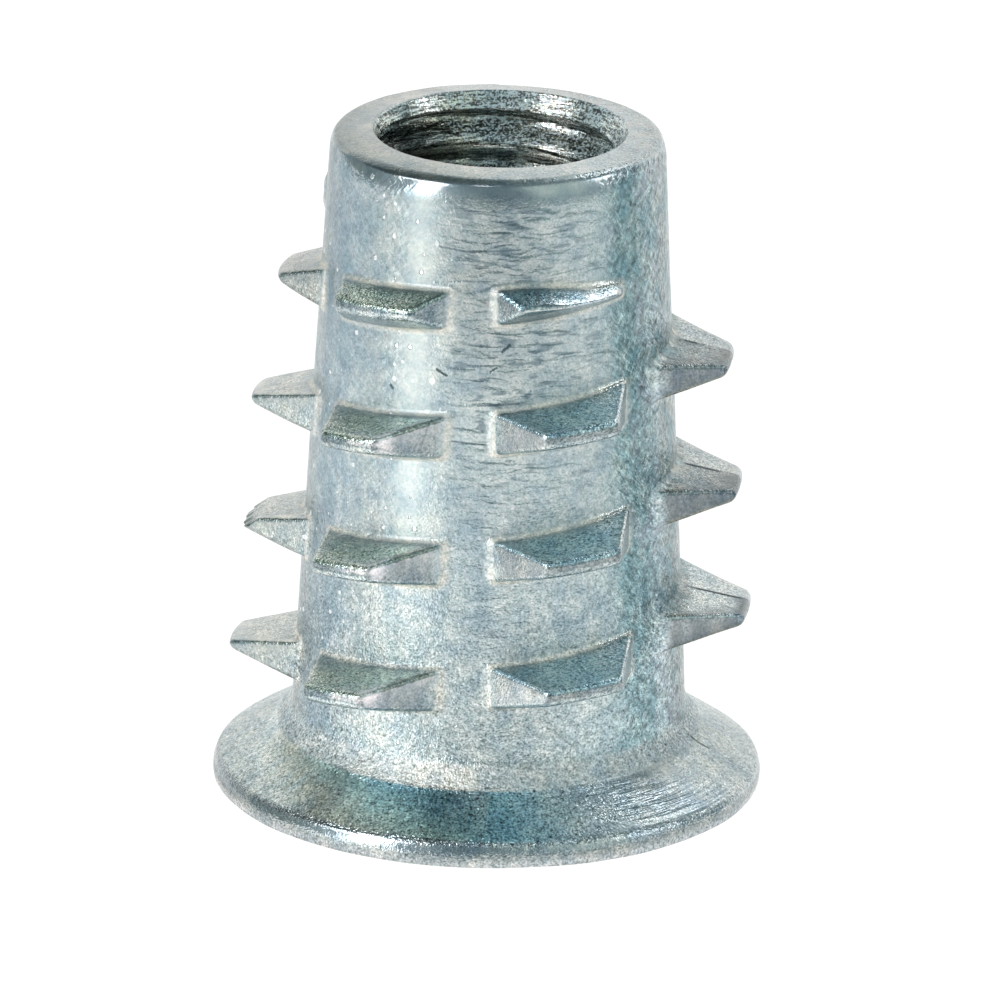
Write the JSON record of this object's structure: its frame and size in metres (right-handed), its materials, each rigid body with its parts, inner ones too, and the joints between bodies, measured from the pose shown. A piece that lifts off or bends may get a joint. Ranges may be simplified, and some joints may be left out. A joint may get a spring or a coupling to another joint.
{
  "type": "threaded insert",
  "caption": "Flanged threaded insert for wood: a tapered sleeve with broken thread ribs, a tapped through bore and a hex socket in its flange end.",
  "frame": {"origin": "centre of the flange's end face, on the bore axis", "axes": "+Z along the bore axis, from the flange towards the mouth of the tapped bore"},
  "size_m": [0.0122, 0.0122, 0.015],
  "materials": {
    "zinc": "bright zinc plate over a grainy casting"
  },
  "bodies": {
    "root": {"insert": "zinc"}
  },
  "joints": []
}
